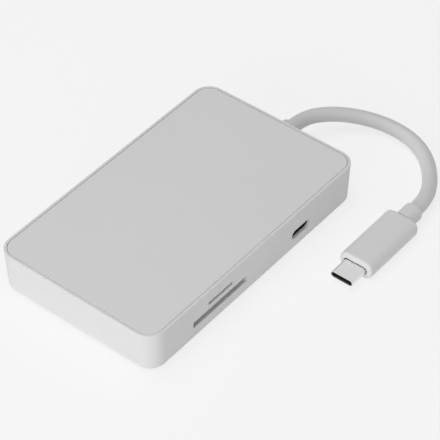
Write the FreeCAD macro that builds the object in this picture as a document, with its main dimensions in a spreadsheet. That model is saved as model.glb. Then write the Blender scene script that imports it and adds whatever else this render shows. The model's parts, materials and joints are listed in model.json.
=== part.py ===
"""A USB hub with card slots and a short captive lead, as a parametric document.

Frame: millimetres, +Z up. The origin is the bottom centre of the hub, on the surface that its feet stand on.
+X runs along the long side to the wall that the lead leaves, and -Y is the wall with the card slots.
"""
import FreeCAD, Part
import math
import os
import re

import Sketcher
from FreeCAD import Placement, Rotation, Vector

doc = FreeCAD.newDocument("usb_hub")
sheet = doc.addObject("Spreadsheet::Sheet", "sizes")
aliases = []
subparts = []
WORD = re.compile(r"[A-Za-z_]\w*")


# ---------------------------------------------------------------- driving dimensions
def sizes(**values):
    """Writes each value, or formula of earlier words, in a cell of its own with that alias."""
    for alias, value in values.items():
        row = len(aliases) + 1
        sheet.set(f"A{row}", "'" + alias)
        sheet.set(f"B{row}", str(value))
        sheet.setAlias(f"B{row}", alias)
        aliases.append(alias)


def read(alias):
    """A size as a plain number, for the few shapes that are worked out here."""
    found = sheet.get(alias)
    return float(getattr(found, "Value", found))


# the case: a tub with slightly leaning walls, and a flat cover let into its top
sizes(
    foot_height=0.4,
    case_length=101.0,
    case_width=62.0,
    case_height=14.8,
    corner_radius=6.0,
    side_draft=2.4,
    side_wall=2.2,
    floor_thickness=1.6,
    rim_width=1.0,
    bottom_round=1.0,
    rim_round=0.3,
    cover_thickness=1.6,
    cover_gap=0.15,
    cover_round=0.15,
    lip_height=1.0,
    lip_thickness=1.0,
    lip_gap=0.1,
)
sizes(
    case_top="=foot_height + case_height",
    inner_floor="=foot_height + floor_thickness",
    cover_bottom="=case_top - cover_thickness",
    draft_run="=case_height * tan(side_draft * 1deg)",
    inner_x="=case_length / 2 - side_wall",
    inner_y="=case_width / 2 - side_wall",
)
# screws, their pillars and the feet that hide them
sizes(
    pillar_diameter=6.4,
    pillar_inset=4.2,
    boss_diameter=4.8,
    screw_diameter=2.0,
    screw_length=8.0,
    screw_head_diameter=3.8,
    screw_head_height=1.4,
    screw_clearance=0.3,
    pilot_clearance=0.05,
    head_recess=0.4,
    driver_slot=0.7,
    driver_depth=0.7,
    foot_diameter=7.4,
    foot_recess=0.4,
    foot_gap=0.1,
)
sizes(
    pillar_x="=inner_x - pillar_inset",
    pillar_y="=inner_y - pillar_inset",
    head_seat="=foot_height + foot_recess + screw_head_height + head_recess",
)
# the main board, on four standoffs
sizes(
    board_rise=6.05,
    board_thickness=1.0,
    board_gap=0.8,
    board_east_gap=10.0,
    pillar_notch=0.6,
    standoff_diameter=4.4,
    standoff_x=36.0,
    standoff_y=19.0,
    board_screw_length=4.0,
    board_hole_clearance=0.2,
)
sizes(
    board_bottom="=inner_floor + board_rise",
    board_top="=board_bottom + board_thickness",
    pillar_top="=board_bottom",
    board_west="=-inner_x + board_gap",
    board_east="=inner_x - board_east_gap",
    board_south="=-inner_y + board_gap",
    board_north="=inner_y - board_gap",
)
# the two card sockets: the wide one hangs under the board, the narrow one stands on it
sizes(
    slot_x=-18.5,
    socket_front_gap=0.2,
    slider_gap=0.1,
    slider_lift=0.3,
    sd_card_width=24.0,
    sd_card_gap=0.15,
    sd_slot_height=2.3,
    sd_window_margin=0.75,
    sd_window_height=2.4,
    sd_depth=26.0,
    sd_base=0.67,
    sd_rail=1.1,
    sd_channel=2.0,
    sd_metal=0.2,
    sd_slider_length=9.0,
    sd_arm_reach=3.0,
    sd_arm_length=1.5,
    sd_travel=4.5,
    sd_spring_solid=4.0,
    sd_spring_diameter=1.5,
    sd_spring_wire=0.25,
    sd_contact_width=0.8,
    sd_contact_pitch=2.5,
    sd_contact_length=6.0,
    microsd_card_width=11.0,
    microsd_card_gap=0.15,
    microsd_slot_height=1.0,
    microsd_window_margin=0.3,
    microsd_window_height=1.3,
    microsd_depth=12.0,
    microsd_base=0.45,
    microsd_rail=0.8,
    microsd_channel=1.3,
    microsd_metal=0.15,
    microsd_slider_length=3.6,
    microsd_arm_reach=1.6,
    microsd_arm_length=0.9,
    microsd_travel=3.0,
    microsd_spring_solid=2.2,
    microsd_spring_diameter=0.75,
    microsd_spring_wire=0.14,
    microsd_contact_width=0.6,
    microsd_contact_pitch=1.1,
    microsd_contact_length=2.6,
)
sizes(
    socket_front="=-inner_y + socket_front_gap",
    contact_thickness=0.12,
    contact_tail=1.6,
    rear_wall=0.8,
)
# the small reversible port beside the card slots, under the board
sizes(
    port_x=21.3,
    port_width=8.94,
    port_height=3.16,
    port_metal=0.3,
    port_depth=7.3,
    port_recess=1.2,
    port_window_gap=0.12,
    port_back=2.2,
    tongue_width=6.69,
    tongue_height=0.7,
    tongue_length=4.45,
    pin_width=0.25,
    pin_pitch=0.5,
    pin_thickness=0.06,
    pin_length=3.4,
)
# the ports of the far wall, sunk into notches of the board
sizes(
    far_port_z=7.8,
    far_window_gap=0.2,
    far_port_recess=0.5,
    far_metal=0.3,
    notch_gap=0.25,
    wing_width=1.6,
    wing_length=5.0,
    usb_a_width=13.1,
    usb_a_height=5.7,
    usb_a_depth=14.0,
    usb_a_x=-1.5,
    usb_a_pitch=19.0,
    usb_a_back=3.6,
    usb_a_tongue_width=11.1,
    usb_a_tongue_height=1.84,
    usb_a_tongue_length=8.8,
    usb_a_tongue_rise=0.72,
    video_width=15.0,
    video_height=5.5,
    video_depth=11.0,
    video_x=-26.0,
    video_slope=1.3,
    video_back=3.0,
    video_tongue_width=11.8,
    video_tongue_height=1.1,
    video_tongue_length=6.5,
)
# the lead, its gland in the +X wall and its plug
sizes(
    lead_diameter=5.0,
    lead_z=7.8,
    gland_diameter=7.0,
    gland_reach=5.5,
    gland_fit=0.1,
    gland_flange_diameter=9.2,
    gland_flange=1.6,
    gland_tail=2.4,
    gland_round=0.5,
    core_tail=2.0,
    wire_diameter=0.7,
    wire_pitch=0.8,
    pad_pitch=1.6,
    plug_x=14.3,
    plug_y=-51.6,
    plug_width=12.2,
    plug_height=6.5,
    plug_round=2.9,
    plug_edge=0.9,
    shell_reach=7.0,
    collar_length=3.5,
    grip_length=21.8,
    neck_length=6.3,
    neck_diameter=6.6,
    neck_round=0.7,
    plug_shell_width=8.25,
    plug_shell_height=2.4,
    plug_shell_metal=0.2,
    plug_shell_gap=0.35,
    plug_mouth=5.8,
)
sizes(
    plug_z="=plug_height / 2",
    gland_end="=case_length / 2 + gland_reach",
)
doc.recompute()


# ---------------------------------------------------------------- ways of making a piece
def bind(thing, prop, text):
    """Ties one property to the sheet. The text is a number or a sum of the sheet's words."""
    spelled = WORD.sub(lambda found: "sizes." + found[0] if found[0] in aliases else found[0], str(text))
    thing.setExpression(prop, spelled)


def bind_all(thing, props, texts):
    for prop, text in zip(props, texts):
        bind(thing, prop, text)


PLACE = ("Placement.Base.x", "Placement.Base.y", "Placement.Base.z")
TURNS = {
    "x": Rotation(Vector(0, 1, 0), 90),
    "y": Rotation(Vector(1, 0, 0), -90),
    "z": Rotation(),
}


def start(kind, name, body, cut):
    """A primitive on its own, or one that adds to or cuts the body it belongs to."""
    if body is None:
        return doc.addObject("Part::" + kind, name)
    return body.newObject("PartDesign::" + ("Subtractive" if cut else "Additive") + kind, name)


def block(name, low, spans, body=None, cut=False):
    """A block from its lowest corner and its three spans."""
    made = start("Box", name, body, cut)
    bind_all(made, PLACE + ("Length", "Width", "Height"), (*low, *spans))
    return made


def slab(name, middle, spans, body=None, cut=False):
    """A block from the middle of its underside and its three spans."""
    low = (f"{middle[0]} - ({spans[0]}) / 2", f"{middle[1]} - ({spans[1]}) / 2", middle[2])
    return block(name, low, spans, body, cut)


def rod(name, base, diameter, length, axis="z", body=None, cut=False):
    """A cylinder from the middle of its first end, along one axis."""
    made = start("Cylinder", name, body, cut)
    made.Placement = Placement(Vector(), TURNS[axis])
    bind_all(made, PLACE + ("Radius", "Height"), (*base, f"({diameter}) / 2", length))
    return made


def pill(name, front, width, height, length, axis="y", body=None, cut=False):
    """A bar with a round-ended section, from the middle of its front, along X or Y."""
    half = f"(({width}) - ({height})) / 2"
    x, y, z = front
    low_z = f"{z} - ({height}) / 2"
    if axis == "y":
        core = block(name + "_core", (f"{x} - {half}", y, low_z), (f"2 * {half}", length, height), body, cut)
        ends = [(f"{x} - {half}", y, z), (f"{x} + {half}", y, z)]
    else:
        core = block(name + "_core", (x, f"{y} - {half}", low_z), (length, f"2 * {half}", height), body, cut)
        ends = [(x, f"{y} - {half}", z), (x, f"{y} + {half}", z)]
    rods = [rod(f"{name}_end", end, height, length, axis, body, cut) for end in ends]
    return None if body else joined(name, [core, *rods])


def video_bar(name, middle_x, front, width, height, length, slope, body=None, cut=False):
    """A bar with two sloping lower corners, centred on the far ports' height and running towards -Y."""
    top = f"far_port_z + ({height}) / 2"
    upper = f"({height}) - ({slope})"
    low = (f"{middle_x} - ({width}) / 2", f"{front} - ({length})", f"{top} - ({upper})")
    core = block(name + "_core", low, (width, length, upper), body, cut)
    foot = start("Wedge", name + "_foot", body, cut)
    foot.Placement = Placement(Vector(), Rotation(Vector(1, 0, 0), -90))
    bind_all(foot, PLACE, low)
    bind_all(foot, ("Xmin", "Xmax", "X2min", "X2max"), (0, width, slope, f"({width}) - ({slope})"))
    bind_all(foot, ("Ymin", "Ymax", "Zmin", "Zmax", "Z2min", "Z2max"), (0, slope, 0, length, 0, length))
    return None if body else joined(name, [core, foot])


def joined(name, pieces):
    made = doc.addObject("Part::MultiFuse", name)
    made.Shapes = pieces
    made.Refine = True
    return made


def without(name, base, tool):
    made = doc.addObject("Part::Cut", name)
    made.Base = base
    made.Tool = tool
    return made


def together(name, pieces):
    """Several equal loose solids that share a node."""
    made = doc.addObject("Part::Compound", name)
    made.Links = pieces
    return made


def body_of(name):
    return doc.addObject("PartDesign::Body", name)


def sketch_on(body, role, height, name):
    """A sketch on one of the body's own planes, lifted by a bound height."""
    plane = [feature for feature in body.Origin.OriginFeatures if feature.Role == role][0]
    made = body.newObject("Sketcher::SketchObject", name)
    made.AttachmentSupport = [(plane, "")]
    made.MapMode = "FlatFace"
    bind(made, "AttachmentOffset.Base.z", height)
    return made


def rounded_rectangle(sketch, length, width, radius):
    """A rectangle with four equal round corners, centred on the sketch's origin."""
    far_x, far_y, bend = 20.0, 10.0, 2.0
    corners = [(1, 1, 0), (-1, 1, 90), (-1, -1, 180), (1, -1, 270)]
    for side_x, side_y, angle in corners:
        middle = Vector(side_x * (far_x - bend), side_y * (far_y - bend), 0)
        circle = Part.Circle(middle, Vector(0, 0, 1), bend)
        sketch.addGeometry(Part.ArcOfCircle(circle, math.radians(angle), math.radians(angle + 90)), False)
    ends = [sketch.Geometry[index] for index in range(4)]
    for index in range(4):
        following = ends[(index + 1) % 4]
        sketch.addGeometry(Part.LineSegment(ends[index].EndPoint, following.StartPoint), False)
    for index in range(4):
        sketch.addConstraint(Sketcher.Constraint("Tangent", index, 2, 4 + index, 1))
        sketch.addConstraint(Sketcher.Constraint("Tangent", 4 + index, 2, (index + 1) % 4, 1))
    for index in range(1, 4):
        sketch.addConstraint(Sketcher.Constraint("Equal", 0, index))
    for index in (4, 6):
        sketch.addConstraint(Sketcher.Constraint("Horizontal", index))
    for index in (5, 7):
        sketch.addConstraint(Sketcher.Constraint("Vertical", index))
    sketch.addConstraint(Sketcher.Constraint("Symmetric", 0, 3, 2, 3, -1, 1))
    spans = (("length", "DistanceX", 1, 0, length), ("width", "DistanceY", 3, 0, width))
    for name, kind, low, high, text in spans:
        value = 2 * (far_x - bend) if kind == "DistanceX" else 2 * (far_y - bend)
        number = sketch.addConstraint(Sketcher.Constraint(kind, low, 3, high, 3, value))
        sketch.renameConstraint(number, name)
        bind(sketch, "Constraints." + name, f"({text}) - 2 * ({radius})")
    number = sketch.addConstraint(Sketcher.Constraint("Radius", 0, bend))
    sketch.renameConstraint(number, "radius")
    bind(sketch, "Constraints.radius", radius)


def pad(body, name, role, height, outline, depth, cut=False, taper=None):
    """A rounded rectangle padded from its plane, or pocketed back from it."""
    sketch = sketch_on(body, role, height, name + "_sketch")
    rounded_rectangle(sketch, *outline)
    made = body.newObject("PartDesign::Pocket" if cut else "PartDesign::Pad", name)
    made.Profile = sketch
    bind(made, "Length", depth)
    if taper:
        bind(made, "TaperAngle", taper)
    doc.recompute()
    return made


def edges_across(feature, axis, height):
    """The names of a feature's edges that lie in one plane across an axis."""
    found = []
    for number, edge in enumerate(feature.Shape.Edges, 1):
        spread = [getattr(point, axis) for point in edge.discretize(5)]
        if max(abs(value - height) for value in spread) < 0.001:
            found.append(f"Edge{number}")
    return found


def rounded(body, name, feature, edges, radius):
    made = body.newObject("PartDesign::Fillet", name)
    made.Base = (feature, edges)
    bind(made, "Radius", radius)
    doc.recompute()
    return made


def turned(name, outline, axis="z"):
    """A solid of revolution about an axis, from (radius, height) points named in the sheet's words."""
    body = body_of(name)
    sketch = sketch_on(body, "XZ_Plane", 0, name + "_sketch")
    count = len(outline)
    for index in range(count):
        first = Vector(1 + index, index, 0)
        last = Vector(2 + index, index + 1, 0)
        sketch.addGeometry(Part.LineSegment(first, last), False)
    for index in range(count):
        sketch.addConstraint(Sketcher.Constraint("Coincident", index, 2, (index + 1) % count, 1))
    for index, (radius, height) in enumerate(outline):
        for kind, text, label in (("DistanceX", radius, "across"), ("DistanceY", height, "up")):
            number = sketch.addConstraint(Sketcher.Constraint(kind, -1, 1, index, 1, 1.0 + index))
            sketch.renameConstraint(number, f"{label}_{index}")
            bind(sketch, f"Constraints.{label}_{index}", text)
    made = body.newObject("PartDesign::Revolution", name + "_turn")
    made.Profile = sketch
    made.ReferenceAxis = (sketch, ["V_Axis"])
    made.Angle = 360
    body.Placement = Placement(Vector(), TURNS[axis])
    doc.recompute()
    return body


def copies(name, original, places, turn=Rotation()):
    """Equal loose solids of one piece, each at its own bound place, in one node."""
    made = []
    for place in places:
        copy = doc.addObject("App::Link", name + "_copy")
        copy.LinkedObject = original
        copy.LinkTransform = False
        copy.Placement = Placement(Vector(), turn)
        bind_all(copy, PLACE, place)
        made.append(copy)
    return together(name, made)


def subpart(label, thing):
    """Names a finished piece. Its label is the name of its file."""
    thing.Label = label
    subparts.append(thing)
    return thing


FOUR_WAYS = [(-1, -1), (1, -1), (1, 1), (-1, 1)]
PILLARS = [(f"{x} * pillar_x", f"{y} * pillar_y") for x, y in FOUR_WAYS]
STANDOFFS = [(f"{x} * standoff_x", f"{y} * standoff_y") for x, y in FOUR_WAYS]
USB_A_PLACES = ["usb_a_x", "usb_a_x + usb_a_pitch"]


# ---------------------------------------------------------------- the case
def make_housing():
    """The tub: leaning walls, rim, ledge for the cover, screw pillars, standoffs and the wall windows."""
    body = body_of("housing_body")
    bottom = ("case_length - 2 * draft_run", "case_width - 2 * draft_run", "corner_radius - draft_run")
    outside = pad(body, "outside", "XY_Plane", "foot_height", bottom, "case_height", taper="side_draft")
    low = edges_across(outside, "z", read("foot_height"))
    outside = rounded(body, "bottom_edge", outside, low, "bottom_round")
    top = edges_across(outside, "z", read("case_top"))
    rounded(body, "top_edge", outside, top, "rim_round")
    cavity = ("2 * inner_x", "2 * inner_y", "corner_radius - side_wall")
    pad(body, "cavity", "XY_Plane", "case_top", cavity, "case_top - inner_floor", cut=True)
    seat = ("case_length - 2 * rim_width", "case_width - 2 * rim_width", "corner_radius - rim_width")
    pad(body, "cover_seat", "XY_Plane", "case_top", seat, "cover_thickness", cut=True)
    for x, y in PILLARS:
        rod("pillar", (x, y, "inner_floor"), "pillar_diameter", "pillar_top - inner_floor", body=body)
        hole = "screw_diameter + screw_clearance"
        rod("screw_way", (x, y, 0), hole, "pillar_top", body=body, cut=True)
        head = "screw_head_diameter + screw_clearance"
        rod("head_way", (x, y, 0), head, "head_seat", body=body, cut=True)
        wide = "foot_diameter + 2 * foot_gap"
        rod("foot_well", (x, y, 0), wide, "foot_height + foot_recess", body=body, cut=True)
    for x, y in STANDOFFS:
        rod("standoff", (x, y, "inner_floor"), "standoff_diameter", "board_rise", body=body)
        depth = "board_screw_length - board_thickness + screw_clearance"
        pilot = "screw_diameter + pilot_clearance"
        rod("pilot", (x, y, f"board_bottom - ({depth})"), pilot, depth, body=body, cut=True)
    for kind, level in (("sd", SD_MIDDLE), ("microsd", MICROSD_MIDDLE)):
        width = f"{kind}_card_width + 2 * {kind}_window_margin"
        height = f"{kind}_window_height"
        low = (f"slot_x - ({width}) / 2", "-case_width / 2", f"{level} - {height} / 2")
        block(kind + "_window", low, (width, "side_wall", height), body, cut=True)
    port = ("port_width + 2 * port_window_gap", "port_height + 2 * port_window_gap", "side_wall")
    pill("port_window", ("port_x", "-case_width / 2", PORT_MIDDLE), *port, body=body, cut=True)
    for x in USB_A_PLACES:
        spans = ("usb_a_width + 2 * far_window_gap", "side_wall", "usb_a_height + 2 * far_window_gap")
        low = (f"({x})", "inner_y + side_wall / 2", f"far_port_z - ({spans[2]}) / 2")
        slab("usb_a_window", low, spans, body, cut=True)
    spans = ("video_width + 2 * far_window_gap", "video_height + 2 * far_window_gap", "side_wall")
    video_bar("video_window", "video_x", "case_width / 2", *spans, "video_slope", body, cut=True)
    hole = ("inner_x", 0, "lead_z")
    rod("gland_hole", hole, "gland_diameter + 2 * gland_fit", "side_wall", "x", body, cut=True)
    doc.recompute()
    return subpart("housing", body)


def make_cover():
    """The flat cover, with a locating lip inside the walls and a boss over each pillar."""
    body = body_of("cover_body")
    inset = "rim_width + cover_gap"
    outline = (f"case_length - 2 * ({inset})", f"case_width - 2 * ({inset})", f"corner_radius - ({inset})")
    plate = pad(body, "plate", "XY_Plane", "cover_bottom", outline, "cover_thickness")
    top = edges_across(plate, "z", read("case_top"))
    rounded(body, "plate_edge", plate, top, "cover_round")
    outer = ("2 * inner_x - 2 * lip_gap", "2 * inner_y - 2 * lip_gap", "corner_radius - side_wall - lip_gap")
    pad(body, "lip", "XY_Plane", "cover_bottom - lip_height", outer, "lip_height")
    shrink = "lip_gap + lip_thickness"
    inner = (f"2 * inner_x - 2 * ({shrink})", f"2 * inner_y - 2 * ({shrink})", "lip_inner_round")
    pad(body, "lip_inside", "XY_Plane", "cover_bottom", inner, "lip_height", cut=True)
    for x, y in PILLARS:
        rod("boss", (x, y, "pillar_top"), "boss_diameter", "cover_bottom - pillar_top", body=body)
        pilot = "screw_diameter + pilot_clearance"
        depth = "head_seat + screw_length + screw_clearance - pillar_top"
        rod("boss_pilot", (x, y, "pillar_top"), pilot, depth, body=body, cut=True)
    doc.recompute()
    return subpart("top_cover", body)


def screw(name, place, length, upwards):
    """A pan-head screw with a crossed drive. Its head's seat is at the place, and its shank goes up or down."""
    x, y, seat = place
    shank = seat if upwards else f"{seat} - {length}"
    head = f"{seat} - screw_head_height" if upwards else seat
    face = head if upwards else f"{head} + screw_head_height - driver_depth"
    solid = joined(name + "_solid", [
        rod(name + "_shank", (x, y, shank), "screw_diameter", length),
        rod(name + "_head", (x, y, head), "screw_head_diameter", "screw_head_height"),
    ])
    long_side = "screw_head_diameter * 0.6"
    drive = joined(name + "_drive", [
        slab(name + "_drive_x", (x, y, face), (long_side, "driver_slot", "driver_depth")),
        slab(name + "_drive_y", (x, y, face), ("driver_slot", long_side, "driver_depth")),
    ])
    return without(name, solid, drive)


def make_fasteners():
    cover = [screw("cover_screw", (x, y, "head_seat"), "screw_length", True) for x, y in PILLARS]
    subpart("cover_screws", together("cover_screw_set", cover))
    board = [screw("board_screw", (x, y, "board_top"), "board_screw_length", False) for x, y in STANDOFFS]
    subpart("board_screws", together("board_screw_set", board))
    feet = [rod("foot", (x, y, 0), "foot_diameter", "foot_height + foot_recess") for x, y in PILLARS]
    subpart("rubber_feet", together("foot_set", feet))


# ---------------------------------------------------------------- the board and what stands on it
def make_board():
    """The main board, notched round the pillars and the ports of the far wall."""
    body = body_of("board_body")
    south, west = "board_south", "board_west"
    spans = ("board_east - board_west", "board_north - board_south", "board_thickness")
    block("laminate", (west, south, "board_bottom"), spans, body)
    for east, north in FOUR_WAYS[::3]:
        reach = "pillar_diameter + 2 * pillar_notch + pillar_inset"
        middle = (f"{east} * (pillar_x + pillar_inset / 2)", f"{north} * (pillar_y + pillar_inset / 2)", "board_bottom")
        slab("pillar_notch", middle, (reach, reach, "board_thickness"), body, cut=True)
    for x, y in STANDOFFS:
        hole = "screw_diameter + board_hole_clearance"
        rod("screw_hole", (x, y, "board_bottom"), hole, "board_thickness", body=body, cut=True)
    for x, wide, deep in FAR_PORTS:
        reach = f"{deep} + far_port_recess - side_wall - board_gap + notch_gap"
        low = (f"{x} - {wide} / 2 - notch_gap", f"board_north - ({reach})", "board_bottom")
        block("port_notch", low, (f"{wide} + 2 * notch_gap", reach, "board_thickness"), body, cut=True)
    doc.recompute()
    return subpart("main_board", body)


def chips(label, places, spans, above=True):
    """Equal packages on one face of the board, each at the middle of its footprint."""
    level = "board_top" if above else f"board_bottom - {spans[2]}"
    made = [slab(label + "_package", (x, y, level), spans) for x, y in places]
    subpart(label, together(label + "_set", made) if len(made) > 1 else made[0])


def make_chips():
    chips("hub_chip", [(16, -2)], (9, 9, 0.85))
    chips("video_chip", [(-27, 8)], (7, 7, 0.85))
    chips("card_reader_chip", [(-2, -14)], (5, 5, 0.75))
    chips("power_chip", [(30, -8)], (4, 4, 0.9))
    chips("memory_chip", [(4, 4)], (3.9, 4.9, 1.5))
    chips("crystals", [(24, 6), (-16, 8)], (3.2, 2.5, 0.8))
    chips("inductors", [(35.5, -10), (35.5, 10), (-38, -4)], (4, 4, 2))
    chips("ferrites", [(7, -10.5), (7, -12.5), (12, -10.5), (12, -12.5)], (1.6, 0.8, 0.8))
    chips("port_switch_chip", [(32, -18)], (3, 3, 0.75), above=False)
    bypass = [(x, y) for x in (9.5, 22.5) for y in (-5, -2, 1)]
    bypass += [(x, y) for x in (-22, -32) for y in (5, 8, 11)]
    chips("capacitors", bypass, (1.0, 0.5, 0.5))
    chips("bulk_capacitors", [(30, 0), (30, 3.4), (-38, 2)], (3.2, 1.6, 1.6))
    loads = [(x, 7.5) for x in (12, 14, 16, 18, 20)] + [(x, 1.5) for x in (-30, -27, -24)]
    chips("resistors", loads, (0.5, 1.0, 0.35))


# ---------------------------------------------------------------- card sockets
SD_MIDDLE = "(board_bottom - sd_base - sd_slot_height / 2)"
MICROSD_MIDDLE = "(board_top + microsd_base + microsd_slot_height / 2)"
PORT_MIDDLE = "(board_bottom - port_height / 2)"
FAR_PORTS = [(f"({x})", "usb_a_width", "usb_a_depth") for x in USB_A_PLACES]
FAR_PORTS.append(("video_x", "video_width", "video_depth"))


def coil(name, foot, length, diameter, wire, turns):
    """A compression spring along +Y, whose first end is at its foot."""
    radius = (diameter - wire) / 2
    helix = Part.makeHelix((length - wire) / turns, length - wire, radius)
    section = Part.Wire(Part.makeCircle(wire / 2, Vector(radius, 0, 0), Vector(0, 1, 0)))
    solid = Part.Wire(helix).makePipeShell([section], True, True)
    made = doc.addObject("Part::Feature", name)
    made.Shape = solid
    made.Placement = Placement(foot + Vector(0, wire / 2, 0), TURNS["y"])
    return made


def make_socket(kind, up, contact_count):
    """A push-push card socket: plastic base and rails, metal cover, contacts, slider and its spring.

    It is on the upper face of the board, or under it. The slot lies on the base, away from the board.
    """
    part = {word: f"{kind}_{word}" for word in (
        "card_width", "card_gap", "slot_height", "depth", "base", "rail", "channel", "metal", "slider_length",
        "arm_reach", "arm_length", "travel", "spring_solid", "spring_diameter", "spring_wire",
        "contact_width", "contact_pitch", "contact_length")}

    def level(away, thick):
        """The lowest height of a layer that starts away from the board's face and has that thickness."""
        return f"board_top + ({away})" if up else f"board_bottom - ({away}) - ({thick})"

    slot = f"({part['card_width']} + 2 * {part['card_gap']})"
    west, east = f"(slot_x - {slot} / 2)", f"(slot_x + {slot} / 2)"
    rail, channel, base = part["rail"], part["channel"], part["base"]
    depth, gap, height = part["depth"], part["slot_height"], part["slot_height"]
    out_west = f"({west} - {rail})"
    width = f"({slot} + 2 * {rail} + {channel})"
    back = f"(socket_front + {depth})"
    whole = f"({depth} + rear_wall)"
    pieces = [
        block(kind + "_plate", (out_west, "socket_front", level(0, base)), (width, whole, base)),
        block(kind + "_rail_w", (out_west, "socket_front", level(base, gap)), (rail, whole, height)),
        block(kind + "_rail_e", (f"{east} + {channel}", "socket_front", level(base, gap)), (rail, whole, height)),
        block(kind + "_rear", (out_west, back, level(base, gap)), (width, "rear_wall", height)),
    ]
    subpart(kind + "_socket_base", joined(kind + "_base", pieces))

    metal, over = part["metal"], f"({base} + {height})"
    sheet_spans = (f"{width} + 2 * {metal}", whole, metal)
    tall = f"{over} + {metal}"
    cover = [
        block(kind + "_roof", (f"{out_west} - {metal}", "socket_front", level(over, metal)), sheet_spans),
        block(kind + "_side_w", (f"{out_west} - {metal}", "socket_front", level(0, tall)), (metal, whole, tall)),
        block(kind + "_side_e", (f"{out_west} + {width}", "socket_front", level(0, tall)), (metal, whole, tall)),
    ]
    subpart(kind + "_socket_cover", joined(kind + "_shield", cover))

    strips = []
    for index in range(contact_count):
        step = f"{index - (contact_count - 1) / 2} * {part['contact_pitch']}"
        middle = f"slot_x + {step} - {part['contact_pitch']} / 2"
        start_y = f"{back} - {part['contact_length']} - 2 * {part['arm_length']}"
        spans = (part["contact_width"], part["contact_length"], "contact_thickness")
        low = (f"{middle} - {part['contact_width']} / 2", start_y, level(base, "contact_thickness"))
        strips.append(block(kind + "_contact", low, spans))
    subpart(kind + "_contacts", together(kind + "_contact_set", strips))

    room = f"({part['travel']} + {part['spring_solid']})"
    tail = f"({back} - {room})"
    thick = f"({height} - slider_lift - slider_gap)"
    lift = f"{base} + slider_lift"
    long_side = part["slider_length"]
    slider = joined(kind + "_slide", [
        block(kind + "_runner", (f"{east} + slider_gap", f"{tail} - {long_side}", level(lift, thick)),
              (f"{channel} - 2 * slider_gap", long_side, thick)),
        block(kind + "_arm", (f"{east} - {part['arm_reach']}", f"{tail} - {part['arm_length']}", level(lift, thick)),
              (f"{part['arm_reach']} + {channel} / 2", part["arm_length"], thick)),
    ])
    subpart(kind + "_slider", slider)

    doc.recompute()
    run = read(part["travel"]) + read(part["spring_solid"])
    middle = read("slot_x") + read(part["card_width"]) / 2 + read(part["card_gap"]) + read(channel) / 2
    away = read(base) + read(height) / 2
    face = read("board_top") + away if up else read("board_bottom") - away
    foot = Vector(middle, read("socket_front") + read(depth) - run, face)
    spring = coil(kind + "_coil", foot, run, read(part["spring_diameter"]), read(part["spring_wire"]), 9)
    subpart(kind + "_spring", spring)


# ---------------------------------------------------------------- ports
def make_small_port():
    """The small reversible port: a drawn metal shell, a tongue with its back block, and two rows of pins."""
    front = "-case_width / 2 + port_recess"
    shell = pill("port_outer", ("port_x", front, PORT_MIDDLE), "port_width", "port_height", "port_depth")
    inner = ("port_width - 2 * port_metal", "port_height - 2 * port_metal")
    hollow = pill("port_inner", ("port_x", front, PORT_MIDDLE), *inner, "port_depth")
    subpart("usb_c_port_shell", without("port_shell", shell, hollow))
    back = f"{front} + port_depth - port_back"
    block_inside = pill("port_block", ("port_x", back, PORT_MIDDLE), *inner, "port_back")
    tongue_low = ("port_x - tongue_width / 2", f"{back} - tongue_length", f"{PORT_MIDDLE} - tongue_height / 2")
    blade = block("port_blade", tongue_low, ("tongue_width", "tongue_length + port_back / 2", "tongue_height"))
    subpart("usb_c_port_tongue", joined("port_tongue", [block_inside, blade]))
    pins = []
    for index in range(12):
        x = f"port_x + {index - 5.5} * pin_pitch - pin_width / 2"
        for z in (f"{PORT_MIDDLE} + tongue_height / 2", f"{PORT_MIDDLE} - tongue_height / 2 - pin_thickness"):
            spans = ("pin_width", "pin_length", "pin_thickness")
            pins.append(block("port_pin", (x, f"{back} - pin_length", z), spans))
    subpart("usb_c_port_contacts", together("port_pins", pins))


def wings(name, middle_x, width, depth):
    """Two ears of a sunk shell, which lie on the board beside its notch."""
    back = f"case_width / 2 - far_port_recess - ({depth})"
    spans = ("wing_width", "wing_length", "far_metal")
    west = block(name + "_w", (f"{middle_x} - {width} / 2 - wing_width", f"{back} + 1.5", "board_top"), spans)
    east = block(name + "_e", (f"{middle_x} + {width} / 2", f"{back} + 1.5", "board_top"), spans)
    return [west, east]


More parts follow.
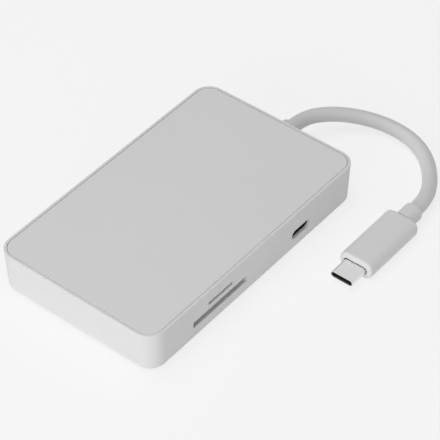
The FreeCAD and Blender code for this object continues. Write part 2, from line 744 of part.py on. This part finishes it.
def make_usb_a_port(label, x):
    """A wide port sunk in the board: folded shell with ears, tongue with its back block, and nine pins."""
    front = "case_width / 2 - far_port_recess"
    low = f"far_port_z - usb_a_height / 2"
    back = f"({front} - usb_a_depth)"
    outer = slab(label + "_outer", (x, f"{front} - usb_a_depth / 2", low), ("usb_a_width", "usb_a_depth", "usb_a_height"))
    spans = ("usb_a_width - 2 * far_metal", "usb_a_depth - far_metal", "usb_a_height - 2 * far_metal")
    hollow_low = (x, f"{front} - ({spans[1]}) / 2", f"{low} + far_metal")
    tube = without(label + "_tube", outer, slab(label + "_hollow", hollow_low, spans))
    ears = wings(label + "_ear", f"({x})", "usb_a_width", "usb_a_depth")
    subpart(label + "_shell", joined(label + "_fold", [tube, *ears]))

    rear = (f"{spans[0]}", "usb_a_back", f"{spans[2]}")
    inside = slab(label + "_block", (x, f"{back} + far_metal + usb_a_back / 2", f"{low} + far_metal"), rear)
    level = f"({low} + usb_a_height - far_metal - usb_a_tongue_rise - usb_a_tongue_height)"
    blade_spans = ("usb_a_tongue_width", "usb_a_tongue_length + usb_a_back / 2", "usb_a_tongue_height")
    blade_y = f"{back} + far_metal + usb_a_back / 2 + ({blade_spans[1]}) / 2"
    blade = slab(label + "_blade", (x, blade_y, level), blade_spans)
    subpart(label + "_tongue", joined(label + "_tongue_solid", [inside, blade]))

    pins = []
    root = f"({back} + far_metal + usb_a_back)"
    for step in (-3.5, -1.25, 1.25, 3.5):
        spans = (1.1, "usb_a_tongue_length - 1.2", "pin_thickness * 3")
        pins.append(slab(label + "_pin", (f"{x} + {step}", f"{root} + ({spans[1]}) / 2", f"{level} - {spans[2]}"), spans))
    for step in (-4.0, -2.0, 0, 2.0, 4.0):
        spans = (0.6, 1.6, "pin_thickness * 3")
        middle = f"{root} + usb_a_tongue_length - 1.0"
        if step:
            middle = f"{root} + usb_a_tongue_length - 2.0"
        pins.append(slab(label + "_fast_pin", (f"{x} + {step}", middle, f"{level} + usb_a_tongue_height"), spans))
    subpart(label + "_contacts", together(label + "_pins", pins))


def make_video_port():
    """The video port: a folded shell with sloping lower corners, its tongue and nineteen pins."""
    front = "(case_width / 2 - far_port_recess)"
    outer = video_bar("video_outer", "video_x", front, "video_width", "video_height", "video_depth", "video_slope")
    inner = ("video_width - 2 * far_metal", "video_height - 2 * far_metal", "video_depth - far_metal")
    hollow = video_bar("video_inner", "video_x", front, *inner, "video_slope")
    tube = without("video_tube", outer, hollow)
    ears = wings("video_ear", "video_x", "video_width", "video_depth")
    subpart("video_port_shell", joined("video_fold", [tube, *ears]))

    back = f"({front} - video_depth + far_metal)"
    filled = video_bar("video_block", "video_x", f"{back} + video_back", *inner[:2], "video_back", "video_slope")
    spans = ("video_tongue_width", "video_tongue_length + video_back / 2", "video_tongue_height")
    level = "far_port_z + 0.1"
    blade = slab("video_blade", ("video_x", f"{back} + video_back / 2 + ({spans[1]}) / 2", level), spans)
    subpart("video_port_tongue", joined("video_tongue", [filled, blade]))
    pins = []
    for index in range(19):
        x = f"video_x + {index - 9} * 0.5"
        z = f"{level} + video_tongue_height" if index % 2 else f"{level} - pin_thickness"
        middle = f"{back} + video_back + (video_tongue_length - 1) / 2"
        pins.append(slab("video_pin", (x, middle, z), (0.28, "video_tongue_length - 1", "pin_thickness")))
    subpart("video_port_contacts", together("video_pins", pins))


# ---------------------------------------------------------------- the lead
# The route leaves the gland along +X, comes down to the surface in a flat bend and enters the plug along -X.
ROUTE = [
    Vector(56.0, 0.0, 7.8),
    Vector(62.5, 0.0, 7.8),
    Vector(71.0, -4.8, 6.6),
    Vector(77.6, -12.2, 4.8),
    Vector(81.4, -21.3, 3.3),
    Vector(81.2, -31.2, 2.6),
    Vector(76.6, -40.0, 2.6),
    Vector(68.6, -47.2, 2.8),
    Vector(59.6, -51.6, 3.25),
    Vector(52.9, -51.6, 3.25),
]


def rounded_path(points, share=0.45):
    """Straight runs joined by tangent arcs, each as large as its shorter run allows. Gives the wire and the radii."""
    edges, radii = [], []
    reached = points[0]
    for before, corner, after in zip(points, points[1:], points[2:]):
        into = (corner - before).normalize()
        out = (after - corner).normalize()
        half_turn = into.getAngle(out) / 2
        cut = share * min((corner - before).Length, (after - corner).Length)
        radius = cut / math.tan(half_turn)
        first, last = corner - into * cut, corner + out * cut
        bisector = (out - into).normalize()
        centre = corner + bisector * (radius / math.cos(half_turn))
        middle = centre - bisector * radius
        edges.append(Part.LineSegment(reached, first).toShape())
        edges.append(Part.Arc(first, middle, last).toShape())
        radii.append(radius)
        reached = last
    edges.append(Part.LineSegment(reached, points[-1]).toShape())
    return Part.Wire(edges), radii


def tube(name, points, diameter):
    """A round solid along a rounded path, with its volume held against its section times its length."""
    path, radii = rounded_path(points)
    direction = points[1] - points[0]
    section = Part.Wire(Part.makeCircle(diameter / 2, points[0], direction))
    made = doc.addObject("Part::Feature", name)
    made.Shape = path.makePipeShell([section], True, False)
    expected = math.pi * diameter ** 2 / 4 * path.Length
    if abs(made.Shape.Volume / expected - 1) > 0.01:
        raise ValueError(f"{name}: volume {made.Shape.Volume:.1f}, expected {expected:.1f}")
    return made, radii, path.Length


def make_lead():
    """The gland through the wall, the lead's inner end with its wires, and the free lead."""
    gland = [
        rod("gland_nose", ("inner_x", 0, "lead_z"), "gland_diameter", "gland_end - inner_x", "x"),
        rod("gland_flange_disc", ("inner_x - gland_flange", 0, "lead_z"), "gland_flange_diameter", "gland_flange", "x"),
        rod("gland_tail_tube", ("inner_x - gland_flange - gland_tail", 0, "lead_z"), "gland_diameter", "gland_tail", "x"),
    ]
    body = joined("gland_solid", gland)
    bore_start = "inner_x - gland_flange - gland_tail"
    bore = rod("gland_bore", (bore_start, 0, "lead_z"), "lead_diameter", "gland_end - inner_x + gland_flange + gland_tail", "x")
    bored = without("gland_bored", body, bore)
    doc.recompute()
    nose = doc.addObject("Part::Fillet", "gland_rounded")
    nose.Base = bored
    end = [
        number for number, edge in enumerate(bored.Shape.Edges, 1)
        if abs(edge.BoundBox.XMin - read("gland_end")) < 0.001 and edge.Length > math.pi * read("lead_diameter") * 1.1
    ]
    nose.Edges = [(number, read("gland_round"), read("gland_round")) for number in end]
    subpart("cable_gland", nose)
    core = "gland_end - inner_x + gland_flange + gland_tail + core_tail"
    inner = rod("core", (f"{bore_start} - core_tail", 0, "lead_z"), "lead_diameter", core, "x")
    subpart("lead_inner_end", inner)

    doc.recompute()
    lead, radii, length = tube("free_lead", ROUTE, read("lead_diameter"))
    subpart("lead", lead)
    print("lead length", round(length, 1), "radii", [round(radius, 1) for radius in radii])

    wires = []
    leave = read("inner_x") - read("gland_flange") - read("gland_tail") - read("core_tail")
    edge = read("board_east")
    out = read("lead_z")
    over = read("board_top") + read("wire_diameter") / 2
    for step in (-2.5, -1.5, -0.5, 0.5, 1.5, 2.5):
        near, far = step * read("wire_pitch"), step * read("pad_pitch")
        points = [
            Vector(leave, near, out),
            Vector(leave - 1.2, near, out),
            Vector(edge + 1.0, (near + far) / 2, over + 0.4),
            Vector(edge - 1.2, far, over),
            Vector(edge - 2.4, far, over),
        ]
        wire, _, _ = tube("wire", points, read("wire_diameter"))
        wires.append(wire)
    subpart("lead_wires", together("wire_set", wires))


def make_plug():
    """The plug, in its own frame: its tip is at the origin and +X runs back to the lead."""
    pieces = {}
    collar = body_of("collar_body")
    outline = ("plug_width", "plug_height", "plug_round")
    ring = pad(collar, "collar", "YZ_Plane", "shell_reach", outline, "collar_length")
    front = edges_across(ring, "x", read("shell_reach"))
    rounded(collar, "collar_edge", ring, front, "plug_edge")
    mouth = ("plug_shell_width + 2 * plug_shell_gap", "plug_shell_height + 2 * plug_shell_gap", "collar_length")
    pill("collar_mouth", ("shell_reach", 0, 0), *mouth, "x", collar, cut=True)
    pieces["plug_front_collar"] = collar

    grip = body_of("grip_body")
    start_x = "shell_reach + collar_length"
    handle = pad(grip, "grip", "YZ_Plane", start_x, outline, "grip_length")
    end = edges_across(handle, "x", read("shell_reach") + read("collar_length") + read("grip_length"))
    rounded(grip, "grip_edge", handle, end, "plug_edge")
    pocket = ("plug_shell_width", "plug_shell_height", "grip_length / 4")
    pill("grip_pocket", (start_x, 0, 0), *pocket, "x", grip, cut=True)
    pieces["plug_grip"] = grip

    end_x = "shell_reach + collar_length + grip_length"
    neck = body_of("neck_body")
    stub = rod("neck", (end_x, 0, 0), "neck_diameter", "neck_length", "x", neck)
    doc.recompute()
    tip = edges_across(stub, "x", sum(read(word) for word in ("shell_reach", "collar_length", "grip_length", "neck_length")))
    rounded(neck, "neck_edge", stub, tip, "neck_round")
    pieces["plug_strain_relief"] = neck

    reach = "shell_reach + collar_length + grip_length / 4"
    outer = pill("plug_outer", (0, 0, 0), "plug_shell_width", "plug_shell_height", reach, "x")
    inner = ("plug_shell_width - 2 * plug_shell_metal", "plug_shell_height - 2 * plug_shell_metal")
    hollow = pill("plug_hollow", (0, 0, 0), *inner, reach, "x")
    pieces["plug_shell"] = without("plug_tube", outer, hollow)

    core = pill("plug_core", (0.15, 0, 0), *inner, f"{reach} - 0.15", "x")
    slot_height = "(tongue_height + 4 * pin_thickness + 0.1)"
    mouth_low = (0, "-tongue_width / 2 - 0.1", f"-{slot_height} / 2")
    slot = block("plug_slot", mouth_low, ("plug_mouth", "tongue_width + 0.2", slot_height))
    pieces["plug_insulator"] = without("plug_insert", core, slot)
    pins = []
    for index in range(12):
        y = f"{index - 5.5} * pin_pitch - pin_width / 2"
        for z in (f"{slot_height} / 2 - pin_thickness", f"-{slot_height} / 2"):
            pins.append(block("plug_pin", (0.6, y, z), ("pin_width", "pin_length", "pin_thickness")))
            bind_all(pins[-1], ("Length", "Width"), ("pin_length", "pin_width"))
    pieces["plug_contacts"] = together("plug_pins", pins)
    for label, piece in pieces.items():
        bind_all(piece, PLACE, ("plug_x", "plug_y", "plug_z"))
        subpart(label, piece)


# ---------------------------------------------------------------- the whole hub
sizes(lip_inner_round="=max(0.5; corner_radius - side_wall - lip_gap - lip_thickness)")
doc.recompute()
make_housing()
make_cover()
make_fasteners()
make_board()
make_chips()
make_socket("sd", up=False, contact_count=9)
make_socket("microsd", up=True, contact_count=8)
make_small_port()
for number, place in enumerate(USB_A_PLACES, 1):
    make_usb_a_port(f"usb_a_port_{number}", place)
make_video_port()
make_lead()
make_plug()
doc.recompute()

for thing in doc.Objects:
    if {"Invalid", "Error"} & set(thing.State):
        raise ValueError(f"{thing.Name} ({thing.Label}) did not compute: {thing.State}")
for thing in subparts:
    if thing.Shape.isNull() or not thing.Shape.isValid():
        raise ValueError(f"{thing.Label} has no valid shape")
# The gland stands out at one end only, so the middle of the whole lies half its reach from the middle of the case.
to_the_middle = FreeCAD.Vector(-read("gland_reach") / 2, 0, 0)
os.makedirs("parts", exist_ok=True)
for thing in subparts:
    placed = thing.Shape.translated(to_the_middle)
    placed.exportStep(f"parts/{thing.Label}.step")
    print(thing.Label, len(placed.Solids), round(placed.Volume, 2))
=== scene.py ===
# %% [markdown]
# A small white USB hub. The case, its ports and its plug come from the CAD frame at their real size. This
# file gives them their finish, adds the lead as one curve, and lights the whole like a product table.

import json
import math

import bmesh
import bpy
from mathutils import Euler, Matrix, Vector


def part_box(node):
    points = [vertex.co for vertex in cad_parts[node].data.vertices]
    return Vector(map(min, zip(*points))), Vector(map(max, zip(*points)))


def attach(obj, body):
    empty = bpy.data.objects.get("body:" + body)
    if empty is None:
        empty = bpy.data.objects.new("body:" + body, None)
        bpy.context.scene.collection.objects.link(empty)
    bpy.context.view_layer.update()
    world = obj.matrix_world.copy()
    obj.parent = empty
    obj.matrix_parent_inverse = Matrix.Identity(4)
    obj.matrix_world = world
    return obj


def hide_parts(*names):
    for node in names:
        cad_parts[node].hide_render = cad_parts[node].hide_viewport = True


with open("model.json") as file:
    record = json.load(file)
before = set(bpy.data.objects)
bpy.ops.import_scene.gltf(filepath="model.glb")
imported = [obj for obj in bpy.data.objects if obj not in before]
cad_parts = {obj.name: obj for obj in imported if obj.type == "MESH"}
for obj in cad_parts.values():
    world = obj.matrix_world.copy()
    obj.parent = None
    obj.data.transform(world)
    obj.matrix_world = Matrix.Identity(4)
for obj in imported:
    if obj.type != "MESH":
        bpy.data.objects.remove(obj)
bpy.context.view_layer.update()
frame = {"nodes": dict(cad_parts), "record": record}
MM = 0.001
nodes = frame["nodes"]
scene = bpy.context.scene
scene.view_settings.view_transform = "Standard"
print("nodes", len(nodes))

# %% [markdown]
# The camera stands at the corner of the case between the plain end and the card slots, well above it. A
# long lens keeps the edges nearly parallel. An Euler turn of 90 degrees less the elevation tips a Blender
# camera from straight down to that height, and the azimuth turns it about the upright axis. The place
# that it looks at is measured from the middle of the case, which lies a little off the origin because the
# gland stands out.

# %% Camera
AZIMUTH, ELEVATION, ROLL = -50.753, 43.724, -0.476
DISTANCE = 641.3 * MM
LENS = 165.6
NEAR_CLIP = 0.01
housing_low, housing_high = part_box("housing")
case_middle = Vector(((housing_low.x + housing_high.x) / 2, 0, 0))


def from_case(place):
    """A place in millimetres from the middle of the case, as metres in the frame."""
    return Vector(place) * MM + case_middle


target = from_case((13.70, -4.37, 0.40))
lens = bpy.data.cameras.new("camera")
lens.lens = LENS
lens.clip_start = NEAR_CLIP
camera = bpy.data.objects.new("camera", lens)
scene.collection.objects.link(camera)
turn = Euler((math.radians(90 - ELEVATION), 0, math.radians(AZIMUTH))).to_matrix()
turn = turn @ Matrix.Rotation(math.radians(ROLL), 3, "Z")
camera.matrix_world = Matrix.Translation(target + turn @ Vector((0, 0, DISTANCE))) @ turn.to_4x4()
scene.camera = camera
print("camera at", camera.matrix_world.translation)

# %% [markdown]
# The lead leaves its gland level, comes down to the table and swings round to the plug in one flat bend.
# It is a NURBS curve: the few points below are its control points, and the curve rounds every corner by
# itself. Order three and the end-point rule are set after the points, because they only hold once the
# points are there. The bevel is one metre deep and each point scales it down to the lead's radius, so
# that the box Blender keeps round the curve, which is made from the points and their radii, is the lead's
# own.

# %% The lead
LEAD_DIAMETER = 5.0 * MM
LEAD_ROUTE = [
    (56.0, 0.0, 7.8),
    (62.5, 0.0, 7.8),
    (71.0, -4.8, 6.6),
    (77.6, -12.2, 4.8),
    (81.4, -21.3, 3.3),
    (81.2, -31.2, 2.6),
    (76.6, -40.0, 2.6),
    (68.6, -47.2, 2.8),
    (59.6, -51.6, 3.25),
    (52.9, -51.6, 3.25),
]


def nurbs_lead(name, route, diameter):
    curve = bpy.data.curves.new(name, "CURVE")
    curve.dimensions = "3D"
    curve.bevel_depth = 1.0
    curve.bevel_resolution = 12
    curve.resolution_u = 24
    spline = curve.splines.new("NURBS")
    spline.points.add(len(route) - 1)
    for point, place in zip(spline.points, route):
        point.co = (*from_case(place), 1.0)
        point.radius = diameter / 2
    spline.order_u = 3
    spline.use_endpoint_u = True
    made = bpy.data.objects.new(name, curve)
    scene.collection.objects.link(made)
    return made


lead = nurbs_lead("lead_jacket", LEAD_ROUTE, LEAD_DIAMETER)
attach(lead, "hub")
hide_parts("lead")
print("lead points", len(LEAD_ROUTE))

# %% [markdown]
# Every finish is a Principled shader whose colour, roughness and relief come from noise in Object
# coordinates. A moulded white is never one flat value: its colour drifts by a percent or two over
# centimetres, and its skin has a spark texture of a few tenths of a millimetre, which is what makes a
# highlight on it soft and matte.

# %% How a finish is built
COAT_ROUGHNESS = 0.06
NOISE_MIDDLE = (0.3, 0.7)


def noise(tree, scale, detail=2.0, stretch=(1, 1, 1)):
    """A noise factor whose grain is 1/scale metres, finer along an axis with a large stretch."""
    place = tree.nodes.new("ShaderNodeTexCoord")
    mapping = tree.nodes.new("ShaderNodeMapping")
    mapping.inputs["Scale"].default_value = stretch
    texture = tree.nodes.new("ShaderNodeTexNoise")
    texture.inputs["Scale"].default_value = scale
    texture.inputs["Detail"].default_value = detail
    tree.links.new(place.outputs["Object"], mapping.inputs["Vector"])
    tree.links.new(mapping.outputs["Vector"], texture.inputs["Vector"])
    return texture.outputs["Fac"]


def between(tree, factor, low, high):
    """Spreads the middle of a noise factor from one value to another."""
    spread = tree.nodes.new("ShaderNodeMapRange")
    spread.inputs["From Min"].default_value = NOISE_MIDDLE[0]
    spread.inputs["From Max"].default_value = NOISE_MIDDLE[1]
    spread.inputs["To Min"].default_value = low
    spread.inputs["To Max"].default_value = high
    tree.links.new(factor, spread.inputs["Value"])
    return spread.outputs["Result"]


def finish(
    name, light, dark, rough, drift=40, grain=2500, relief=0.02, metal=0.0, coat=0.0, stretch=(1, 1, 1)
):
    """A finish from two close colours, a range of roughness, and a grain that also stands in relief."""
    made = bpy.data.materials.new(name)
    made.use_nodes = True
    tree = made.node_tree
    shader = tree.nodes["Principled BSDF"]
    shader.inputs["Metallic"].default_value = metal
    shader.inputs["Coat Weight"].default_value = coat
    shader.inputs["Coat Roughness"].default_value = COAT_ROUGHNESS
    mix = tree.nodes.new("ShaderNodeMix")
    mix.data_type = "RGBA"
    mix.inputs["A"].default_value = (*light, 1)
    mix.inputs["B"].default_value = (*dark, 1)
    tree.links.new(between(tree, noise(tree, drift), 0, 1), mix.inputs["Factor"])
    tree.links.new(mix.outputs["Result"], shader.inputs["Base Color"])
    skin = noise(tree, grain, 4, stretch)
    tree.links.new(between(tree, skin, *rough), shader.inputs["Roughness"])
    bump = tree.nodes.new("ShaderNodeBump")
    bump.inputs["Strength"].default_value = 1.0
    bump.inputs["Distance"].default_value = relief * MM
    tree.links.new(skin, bump.inputs["Height"])
    tree.links.new(bump.outputs["Normal"], shader.inputs["Normal"])
    return made


def grey(value):
    return (value, value, value)


# %% [markdown]
# One finish goes with each material slot of the record: light and dark colour, then the range of
# roughness. The whites differ mostly in gloss. The cover is polished under a thin clear coat, and the
# tub, the plug and the lead are satin. The relief is in millimetres, and it is very small on what is
# polished.

# %% The finishes
BRUSHED = (1, 12, 1)
FINISHES = {
    "case_plastic": finish("case_plastic", grey(0.84), grey(0.82), (0.42, 0.5), relief=0.006),
    "cover_plastic": finish(
        "cover_plastic", grey(0.86), grey(0.845), (0.16, 0.2), drift=25, relief=0.001, coat=0.3
    ),
    "foot_rubber": finish("foot_rubber", grey(0.50), grey(0.44), (0.75, 0.9), relief=0.02),
    "screw_steel": finish("screw_steel", grey(0.42), grey(0.36), (0.25, 0.4), metal=1.0),
    "board_laminate": finish("board_laminate", (0.03, 0.2, 0.1), (0.02, 0.15, 0.08), (0.3, 0.4)),
    "chip_plastic": finish("chip_plastic", grey(0.035), grey(0.025), (0.5, 0.65)),
    "crystal_can": finish("crystal_can", grey(0.6), grey(0.55), (0.2, 0.3), metal=1.0),
    "ferrite_body": finish("ferrite_body", grey(0.1), grey(0.07), (0.6, 0.8)),
    "ceramic": finish("ceramic", (0.45, 0.33, 0.2), (0.4, 0.3, 0.18), (0.4, 0.5)),
    "socket_plastic": finish("socket_plastic", grey(0.03), grey(0.02), (0.45, 0.55)),
    "slider_plastic": finish("slider_plastic", (0.7, 0.66, 0.55), (0.66, 0.62, 0.5), (0.4, 0.5)),
    "socket_cover_steel": finish(
        "socket_cover_steel", grey(0.55), grey(0.5), (0.28, 0.36), metal=1.0, stretch=BRUSHED
    ),
    "contact_gold": finish("contact_gold", (0.9, 0.62, 0.25), (0.85, 0.58, 0.22), (0.2, 0.3), metal=1.0),
    "spring_steel": finish("spring_steel", grey(0.5), grey(0.45), (0.25, 0.35), metal=1.0),
    "port_shell_steel": finish(
        "port_shell_steel", grey(0.6), grey(0.55), (0.22, 0.3), metal=1.0, relief=0.002
    ),
    "black_insert": finish("black_insert", grey(0.02), grey(0.014), (0.4, 0.5)),
    "blue_insert": finish("blue_insert", (0.03, 0.12, 0.5), (0.02, 0.1, 0.42), (0.4, 0.5)),
    "lead_jacket": finish("lead_jacket", grey(0.80), grey(0.78), (0.42, 0.5), drift=60, relief=0.004),
    "wire_jacket": finish("wire_jacket", (0.5, 0.05, 0.03), (0.4, 0.04, 0.03), (0.4, 0.5)),
    "plug_plastic": finish("plug_plastic", grey(0.84), grey(0.82), (0.38, 0.46), drift=80, relief=0.004),
    "plug_chrome": finish("plug_chrome", grey(0.82), grey(0.78), (0.08, 0.13), metal=1.0, relief=0.0008),
}
for row in frame["record"]["subparts"]:
    node = nodes[row["node"]]
    node.data.materials.clear()
    node.data.materials.append(FINISHES[row["material_slot"]])
lead.data.materials.append(FINISHES["lead_jacket"])
print("finishes", len(FINISHES))

# %% [markdown]
# The table is a plain pale floor. A product table looks white to the camera because it is bright, and it
# keeps a faint shadow where the object stands. Light Path lets the floor and the surroundings look white
# to the camera and in reflections, with no more light on the object.

# %% Floor and surroundings
FLOOR_SIZE = 6.0
FLOOR_HEIGHT = -0.0002
FLOOR_COLOUR = (0.93, 0.93, 0.93, 1)
FLOOR_GLOW = 0.75
SKY_STRENGTH = 0.28


def seen_directly(tree):
    """One for camera rays and for rays off metal or glass, and nothing for the light on the object."""
    path = tree.nodes.new("ShaderNodeLightPath")
    first = tree.nodes.new("ShaderNodeMath")
    first.operation = "MAXIMUM"
    second = tree.nodes.new("ShaderNodeMath")
    second.operation = "MAXIMUM"
    tree.links.new(path.outputs["Is Camera Ray"], first.inputs[0])
    tree.links.new(path.outputs["Is Glossy Ray"], first.inputs[1])
    tree.links.new(first.outputs[0], second.inputs[0])
    tree.links.new(path.outputs["Is Transmission Ray"], second.inputs[1])
    return second.outputs[0]


def floor_finish():
    made = bpy.data.materials.new("floor")
    made.use_nodes = True
    tree = made.node_tree
    tree.nodes.clear()
    matte = tree.nodes.new("ShaderNodeBsdfDiffuse")
    matte.inputs["Color"].default_value = FLOOR_COLOUR
    glow = tree.nodes.new("ShaderNodeEmission")
    share = tree.nodes.new("ShaderNodeMath")
    share.operation = "MULTIPLY"
    share.inputs[1].default_value = FLOOR_GLOW
    mix = tree.nodes.new("ShaderNodeMixShader")
    out = tree.nodes.new("ShaderNodeOutputMaterial")
    tree.links.new(seen_directly(tree), share.inputs[0])
    tree.links.new(share.outputs[0], mix.inputs[0])
    tree.links.new(matte.outputs[0], mix.inputs[1])
    tree.links.new(glow.outputs[0], mix.inputs[2])
    tree.links.new(mix.outputs[0], out.inputs["Surface"])
    return made


shape = bmesh.new()
bmesh.ops.create_grid(shape, x_segments=1, y_segments=1, size=FLOOR_SIZE / 2)
floor_mesh = bpy.data.meshes.new("floor")
shape.to_mesh(floor_mesh)
shape.free()
floor_mesh.materials.append(floor_finish())
floor = bpy.data.objects.new("floor", floor_mesh)
scene.collection.objects.link(floor)
floor.location.z = FLOOR_HEIGHT

world = bpy.data.worlds.new("surroundings")
scene.world = world
world.use_nodes = True
sky = world.node_tree
dim = sky.nodes["Background"]
dim.inputs["Color"].default_value = (1, 1, 1, 1)
dim.inputs["Strength"].default_value = SKY_STRENGTH
white = sky.nodes.new("ShaderNodeBackground")
white.inputs["Strength"].default_value = 1.0
blend = sky.nodes.new("ShaderNodeMixShader")
sky.links.new(seen_directly(sky), blend.inputs[0])
sky.links.new(dim.outputs[0], blend.inputs[1])
sky.links.new(white.outputs[0], blend.inputs[2])
sky.links.new(blend.outputs[0], sky.nodes["World Output"].inputs["Surface"])
print("floor", FLOOR_SIZE, "m")

# %% [markdown]
# Three soft boxes: a broad one overhead, one low at the plain end, which makes that wall the brightest,
# and a weak one by the card slots, whose wall falls away into grey towards the lead.

# %% Lights
SOFT_BOXES = {
    "overhead": dict(place=(-0.1, 0.15, 0.9), aim=(0, 0, 0), size=(0.9, 0.7), power=2.9),
    "end_box": dict(place=(-0.9, -0.1, 0.25), aim=(0, 0, 0), size=(0.6, 0.5), power=3.4),
    "slot_box": dict(place=(-0.25, -0.7, 0.2), aim=(-0.03, 0, 0), size=(0.35, 0.3), power=0.4),
}


def soft_box(name, place, aim, size, power):
    light = bpy.data.lights.new(name, "AREA")
    light.shape = "RECTANGLE"
    light.size, light.size_y = size
    light.energy = power
    made = bpy.data.objects.new(name, light)
    scene.collection.objects.link(made)
    made.location = place
    made.rotation_euler = (Vector(aim) - Vector(place)).to_track_quat("-Z", "Y").to_euler()


for name, facts in SOFT_BOXES.items():
    soft_box(name, **facts)
print("soft boxes", len(SOFT_BOXES))

# %% [markdown]
# The update makes Blender work out the new curve.

# %% Update
bpy.context.view_layer.update()
